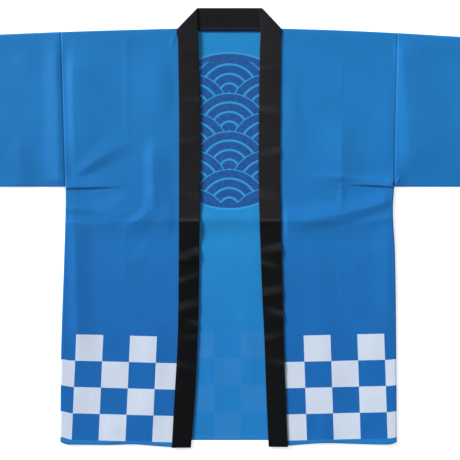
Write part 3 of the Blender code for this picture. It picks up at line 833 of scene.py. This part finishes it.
def sleeve_points(side):
    """Rings from the armhole to the cuff: up the lower layer, round the fold on a half
    ellipse, down the upper layer and round the seam."""
    start = side_line(side, 0.0) + GAP
    reach = SPAN - start
    rings = steps((0.0, 0.010, 0.0008), (0.010, 0.280, 0.0027), (0.280, reach, 0.0012))
    share = rings[:, None] / reach
    top = shoulder_line(side, start + reach * share)
    turn = np.linspace(-np.pi / 2, np.pi / 2, 13)[None, :]
    lower = UNDERARM - ROLL + (top - UNDERARM + 2.0 * ROLL) * np.linspace(0.0, 1.0, 30)
    upper = top + ROLL + (UNDERARM - top - 2.0 * ROLL) * np.linspace(0.0, 1.0, 110)

    def outward(down):
        armhole = side_line(side, down) + GAP
        return armhole + (SPAN - armhole) * share

    cuff = hem_fold(SPAN - outward(upper), CUFF_HEM)
    face = upper_face(side, outward(upper), upper) + cuff
    in_fold = ROLL * (1.0 - np.cos(turn))
    rise_top = 0.5 * face[:, :1] * (1.0 + np.sin(turn))
    rise_low = 0.5 * face[:, -1:] * (1.0 + np.sin(turn))
    fold, seam = slice(1, -1), slice(-2, 0, -1)
    at_seam = UNDERARM - in_fold[:, seam] + 0.0 * top
    down = np.hstack((lower, top + in_fold[:, fold], upper, at_seam))
    height = np.hstack((0.0 * lower, rise_top[:, fold], face, rise_low[:, seam]))
    points = place(side, outward(down), down, height)
    closed = np.concatenate((points, points[:, :1]), axis=1)
    round_it = np.linalg.norm(np.diff(closed, axis=1), axis=-1)
    round_it = np.concatenate((0.0 * top, np.cumsum(round_it, axis=1)), axis=1)
    return points, grid(reach * share, round_it)


def sleeve_outside_colour(tree, cloth, space):
    """The same blue, which begins to deepen towards the seam as the fronts do there."""
    level = split(tree, space)["Y"]
    deep = ramp(tree, level, SLEEVE_DEEPENS, SLEEVE_DEEPENS - DEEPENS_OVER)
    return blend(tree, deep, PRINTED_BLUE, DEEP_BLUE)


def sleeve_inside_colour(tree, cloth, space):
    return FADED_BLUE


sleeve_materials = (
    cloth_material("sleeve_outside", sleeve_outside_colour),
    cloth_material("sleeve_inside", sleeve_inside_colour),
)
sleeves = {}
for side in SIGN:
    points, flat = sleeve_points(side)
    sleeves[side] = cloth_piece(
        "sleeve_cloth_" + side, points, flat, sleeve_materials, ring=True, flip=(side == "right")
    )
    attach(sleeves[side], "root")
    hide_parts("sleeve_" + side)

    cuff_out = SPAN - CUFF_HEM + SEWN_IN
    sewn_from = shoulder_line(side, cuff_out) + CUFF_SEWN_SHORT
    cuff_down = np.linspace(sewn_from, UNDERARM - CUFF_SEWN_SHORT, ROW_POINTS)
    cuff_high = upper_face(side, cuff_out, cuff_down) + HEM_STEP
    cuff_row = place(side, cuff_out, cuff_down, cuff_high)
    cuff_stitches = stitch_rows("cuff_stitches_" + side, [cuff_row], blue_thread)
    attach(cuff_stitches, "root")


# The collar. One long strip of black cloth, folded double over a stiffening and sewn over
# the raw front edges and round the neck. At each corner of the neck it turns over on a
# slanting fold, and the packing fold has left a crease across it.

BAND = 0.0020
BAND_END = {"right": 0.8587, "left": 0.8570}
NECK_TOP = -0.0418
NECK_SEAM = 0.0062
NECK_CORNER = {"right": 0.0656, "left": 0.0668}
NECK_INSET = 0.0060
FOLD_RADIUS = 0.0016
CLIMB_TOP = 0.0450
OVER_FRONT = 0.0016  # from the front's face to the middle of the collar's wall
OVER_NECK = 0.0018  # and at the neck, where it is sewn to the back's edge
OVER_BACK = 0.0026  # from the floor to the same at the free edge
FOLD_HIGH = 0.0033  # the slanting fold's axis above what it lies on
FOLD_ON_FRONT = 0.0012  # what that is at the sewn edge
PACKING_FOLD = 0.3960
# over which the collar's painted sheen above the packing fold fades in
SHEEN_STEP_RUN = 0.0020
ROUND_EDGE = 0.022  # of the band's section, as a share of its width
GROOVE_DEPTH = 0.30  # along its stitches, as a share of half the wall
GROOVE_WIDTH = 0.016
CROWN = 0.08
TOPSTITCH = 0.058  # how far across the band its stitches lie, and how high there
TOPSTITCH_LEVEL = 0.72

# Creases across the collar: how far down, how high and how wide, how far they slant down
# towards the free edge, and whether they are stronger there (1) or at the sewn edge (-1).
COLLAR_CREASES = {
    "right": (
        (0.150, 0.4, 12, 3, 0.5),
        (0.236, 0.4, 16, -4, -0.5),
        (0.352, 0.6, 24, 5, 0.4),
        (0.396, 0.7, 7, 0, 0.0),
        (0.470, 1.3, 20, -6, 0.7),
        (0.480, 0.9, 15, 5, -0.8),
        (0.516, 0.8, 14, -7, -0.5),
        (0.576, 1.4, 22, -5, -0.4),
        (0.604, 0.6, 14, 8, 0.8),
        (0.640, 0.4, 14, -3, 0.6),
        (0.700, 0.5, 18, 5, -0.3),
    ),
    "left": (
        (0.085, 0.3, 12, 3, 0.6),
        (0.176, 0.7, 17, -4, 0.5),
        (0.262, 0.7, 18, 5, -0.4),
        (0.356, 0.8, 28, -4, 0.3),
        (0.396, 0.7, 7, 0, 0.0),
        (0.460, 1.3, 20, 5, -0.5),
        (0.492, 0.8, 16, -7, 0.8),
        (0.546, 1.4, 20, 4, 0.3),
        (0.586, 0.9, 16, -6, -0.8),
        (0.636, 0.5, 15, 5, 0.6),
        (0.690, 0.4, 16, -3, -0.5),
    ),
}

# Where the free edge stands off the back, and lets a shadow fall there.
FREE_LIFTS = {
    "right": ((0.040, 2.6, 30, 0, 0.0), (0.412, 3.0, 34, 0, 0.0)),
    "left": ((0.300, 0.5, 60, 0, 0.0), (0.520, 0.6, 70, 0, 0.0)),
}


def creases_across(rows, down, across):
    """Sum of raised cosines, at a share of the way from the sewn edge to the free one."""
    at, height, width, lean, bias = np.array(rows).T
    to_free = 2.0 * np.broadcast_to(across, down.shape)[..., None] - 1.0
    off = down[..., None] - at - MM * lean * to_free
    off = np.clip(np.abs(off) / (MM * width), 0.0, 1.0)
    height = MM * height * (1.0 + bias * to_free)
    return (height * (0.5 + 0.5 * np.cos(np.pi * off))).sum(axis=-1)


def collar_half(side):
    """The sewn and the free edge, from the hem to the middle of the neck, at the middle of
    the wall: a straight climb, a half turn on the slanting fold, then across the neck."""
    climb = steps((CLIMB_TOP, BAND_END[side], 0.0020))[::-1]
    sewn_out = along(BANDS, "down", side + "_sewn", climb)
    free_out = along(BANDS, "down", side + "_free", climb)
    under = sewn_out - np.array((0.0, 0.5, 1.0))[:, None] * SEAM_ALLOWANCE
    sewn_high = upper_face(side, under, climb).max(axis=0) + OVER_FRONT
    sewn_high += creases_across(COLLAR_CREASES[side], climb, 0.0)
    free_high = back_lift(SIGN[side] * free_out, climb) + OVER_BACK
    free_high += creases_across(COLLAR_CREASES[side], climb, 1.0)
    free_high += creases_across(FREE_LIFTS[side], climb, 1.0)
    sewn = grid(sewn_out, climb, sewn_high)
    free = grid(free_out, climb, free_high)

    sewn_end = np.array((BANDS[side + "_sewn"][0], 0.0))
    free_end = np.array((NECK_CORNER[side], NECK_TOP))
    slant = (free_end - sewn_end) / np.hypot(*(free_end - sewn_end))
    outward = np.array((-slant[1], slant[0]))
    outward = -outward if outward[1] > 0.0 else outward
    set_back = outward * (FOLD_RADIUS + 0.5 * BAND)
    turn = np.linspace(0.0, np.pi, 25)[:, None]
    tracks = []
    for climbed, end, floor, edge_down in (
        (sewn, sewn_end, FOLD_ON_FRONT, NECK_SEAM),
        (free, free_end, 0.0, NECK_TOP),
    ):
        axis = np.array((*(end - set_back), floor + FOLD_HIGH))
        turned = outward * FOLD_RADIUS * np.sin(turn) + slant * FOLD_RADIUS * (turn - 0.5 * np.pi)
        over = np.hstack((turned, FOLD_RADIUS * np.cos(turn))) + axis
        last = climbed[-1]
        t = np.linspace(0.0, 1.0, 22)[1:-1]
        leaning = last + (over[0] - last) * grid(t, t, smoothstep(t))
        begun = np.array((NECK_CORNER[side] - NECK_INSET, edge_down, OVER_NECK))
        t = np.linspace(0.0, 1.0, 8)[1:, None]
        to_neck = over[-1] + (begun - over[-1]) * t
        neck = begun * grid(1.0 - np.linspace(0.0, 1.0, 24)[1:], 1.0, 1.0)
        track = np.concatenate((climbed, leaning, over, to_neck, neck))
        tracks.append(place(side, *track.T))
    return tracks


def band_profile():
    """Half the band's section from its sewn edge to its free one, as a share of its width
    and a share of half its wall, then back along its other face: round at both edges, a
    groove along the stitches and a low crown between."""
    flat = np.concatenate(((0.035, 0.050, 0.065, 0.095), np.linspace(0.14, 0.94, 10)))
    groove = GROOVE_DEPTH * np.exp(-(((flat - TOPSTITCH) / GROOVE_WIDTH) ** 2))
    face = 1.0 - groove + CROWN * np.sin(np.pi * flat)
    turn = np.linspace(0.0, np.pi / 2, 4)
    rise, run = np.sin(turn), ROUND_EDGE * (1.0 - np.cos(turn))
    across = np.concatenate((run, flat, 1.0 - run[::-1]))
    high = np.concatenate((rise, face, rise[::-1]))
    return np.concatenate((across, across[-2:0:-1])), np.concatenate((high, -high[-2:0:-1]))


sewn, free = [
    np.concatenate((right[:-1], 0.5 * (right[-1:] + left[-1:]), left[-2::-1]))
    for right, left in zip(collar_half("right"), collar_half("left"))
]
centre = 0.5 * (sewn + free)
along_it = np.gradient(centre, axis=0)
normal = np.cross(free - sewn, along_it)
normal = normal / np.linalg.norm(normal, axis=1, keepdims=True)
across, high = band_profile()
points = sewn[:, None] + (free - sewn)[:, None] * across[:, None]
points = points + normal[:, None] * (0.5 * BAND * high)[:, None]
width = np.linalg.norm(free - sewn, axis=1, keepdims=True)
flat = grid(np.concatenate((across, [0.0])) * width, travelled(centre)[:, None])

COLLAR_DARK = (0.0026, 0.0030, 0.0036, 1.0)
# painted sheen: the band's black, a shade greyer above the packing fold
COLLAR_UPPER_SHEEN = (0.0118, 0.0118, 0.0140, 1.0)
COLLAR_NECK = (0.0072, 0.0074, 0.0088, 1.0)
# painted sheen added on crease flanks that face the light
COLLAR_CREASE_SHEEN = (0.0085, 0.0087, 0.0100, 1.0)
SHEEN_FULL_SLOPE = 0.095  # a crease's flank facing up the band as steep as this gets the full painted sheen
NECK_BLUE = (0.0030, 0.0110, 0.0260, 1.0)
NECK_STRIP = 0.0064  # width of the strip between the sewn edge and the stitches there
BLACK_THREAD = (0.0100, 0.0100, 0.0115, 1.0)
GREY_THREAD = (0.1300, 0.1400, 0.1700, 1.0)


def collar_colour(tree, cloth, space):
    """Black, with painted sheen: a shade greyer above the packing fold, where the band's upper
    half catches more light, and on crease flanks that face up the band towards the light. Bluish
    on the strip below the stitches at the neck."""
    place_at = split(tree, space)
    fold = NECK_Y - PACKING_FOLD
    # Painted sheen: the band is a shade greyer above the packing fold.
    upper_sheen = ramp(tree, place_at["Y"], fold - SHEEN_STEP_RUN, fold + SHEEN_STEP_RUN)
    colour = blend(tree, upper_sheen, COLLAR_DARK, COLLAR_UPPER_SHEEN)
    below = calc(tree, "LESS_THAN", place_at["Y"], NECK_Y - NECK_SEAM + NECK_STRIP)
    sideways = calc(tree, "ABSOLUTE", place_at["X"])
    between = calc(tree, "LESS_THAN", sideways, NECK_CORNER["right"] - NECK_INSET)
    above = calc(tree, "GREATER_THAN", place_at["Y"], NECK_Y - NECK_SEAM - GAP)
    at_neck = calc(tree, "MULTIPLY", above, between)
    colour = blend(tree, at_neck, colour, COLLAR_NECK)
    colour = blend(tree, calc(tree, "MULTIPLY", at_neck, below), colour, NECK_BLUE)
    # painted sheen on the crease flanks that face the light, from a point attribute
    laid_face_and_painted_sheen = add(tree, "Attribute", attribute_name="laid_face_and_painted_sheen").outputs["Fac"]
    return blend(tree, laid_face_and_painted_sheen, colour, COLLAR_CREASE_SHEEN, "ADD")


collar_black = cloth_material(
    "collar_black", collar_colour, yarn=0.00055, roughness=0.62, mottled=0.8, specular=0.08
)
collar_cloth = cloth_piece("collar_cloth", points, flat, [collar_black], wall=0.0, ring=True)
# Painted sheen on the collar: how steeply each crease flank faces up the band, towards the light,
# kept as a point attribute.
at_down = NECK_Y - centre[:, 1:2] + 0.0 * across
laid_face_and_painted_sheen = 0.0 * at_down
for side in SIGN:
    above = creases_across(COLLAR_CREASES[side], at_down - MM, across)
    below = creases_across(COLLAR_CREASES[side], at_down + MM, across)
    here = SIGN[side] * centre[:, :1] > 0.0
    laid_face_and_painted_sheen += np.where(here, (below - above) / (2.0 * MM * SHEEN_FULL_SLOPE), 0.0)
laid_face_and_painted_sheen = np.clip(laid_face_and_painted_sheen, 0.0, 1.0).ravel()
collar_cloth.data.attributes.new("laid_face_and_painted_sheen", "FLOAT", "POINT").data.foreach_set("value", laid_face_and_painted_sheen)
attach(collar_cloth, "root")
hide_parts("collar_band")


def on_collar(share, level):
    """Points along the band: a share of the way across it and of its half wall above it."""
    return sewn + (free - sewn) * share + normal * (0.5 * BAND * level)


black_thread = thread_material("black_thread", BLACK_THREAD)
topstitches = [on_collar(TOPSTITCH, level) for level in (TOPSTITCH_LEVEL, -TOPSTITCH_LEVEL)]
collar_stitches = stitch_rows("collar_stitches", topstitches, black_thread)
at_neck = np.abs(centre[:, 0]) < NECK_CORNER["right"] - NECK_INSET
neck_side = np.sign(normal[at_neck][0, 2])
neck_row = on_collar(NECK_STRIP / (NECK_SEAM - NECK_TOP), neck_side)[at_neck]
grey_thread = thread_material("grey_thread", GREY_THREAD)
neck_stitches = stitch_rows("neck_stitches", [neck_row], grey_thread)
for stitched in (collar_stitches, neck_stitches):
    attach(stitched, "root")


# Floor, light and camera. The coat lies on a plain white surface, seen from straight
# above, in soft light from beyond the wearer's right shoulder.

FLOOR_Z = -0.0003
bpy.ops.mesh.primitive_plane_add(size=12.0, location=(0.0, 0.0, FLOOR_Z))
floor = bpy.context.object
floor.name = "floor"
floor_material, _, paper = new_material("white_floor", 0.8, 0.1)
paper["Base Color"].default_value = (0.93, 0.93, 0.93, 1.0)
paper["Emission Color"].default_value = (1.0, 1.0, 1.0, 1.0)
paper["Emission Strength"].default_value = 0.55
floor.data.materials.append(floor_material)

world = bpy.data.worlds.new("studio")
world.use_nodes = True
studio = world.node_tree.nodes["Background"].inputs
studio["Color"].default_value = (1.0, 1.0, 1.0, 1.0)
studio["Strength"].default_value = 0.37
scene = bpy.context.scene
scene.world = world
scene.view_settings.view_transform = "Standard"

window = bpy.data.objects.new("window", bpy.data.lights.new("window", "SUN"))
window.data.energy = 6.0
window.data.angle = 0.30
window.location = (-4.3, 3.4, 2.15)
window.rotation_mode = "QUATERNION"
window.rotation_quaternion = window.location.to_track_quat("Z", "Y")
scene.collection.objects.link(window)

CAMERA_HEIGHT = 2.2266
camera = bpy.data.objects.new("camera", bpy.data.cameras.new("camera"))
camera.data.lens = 85.0
camera.data.sensor_width = 36.0
camera.location = (0.0014, -0.0046, CAMERA_HEIGHT)
scene.collection.objects.link(camera)
scene.camera = camera
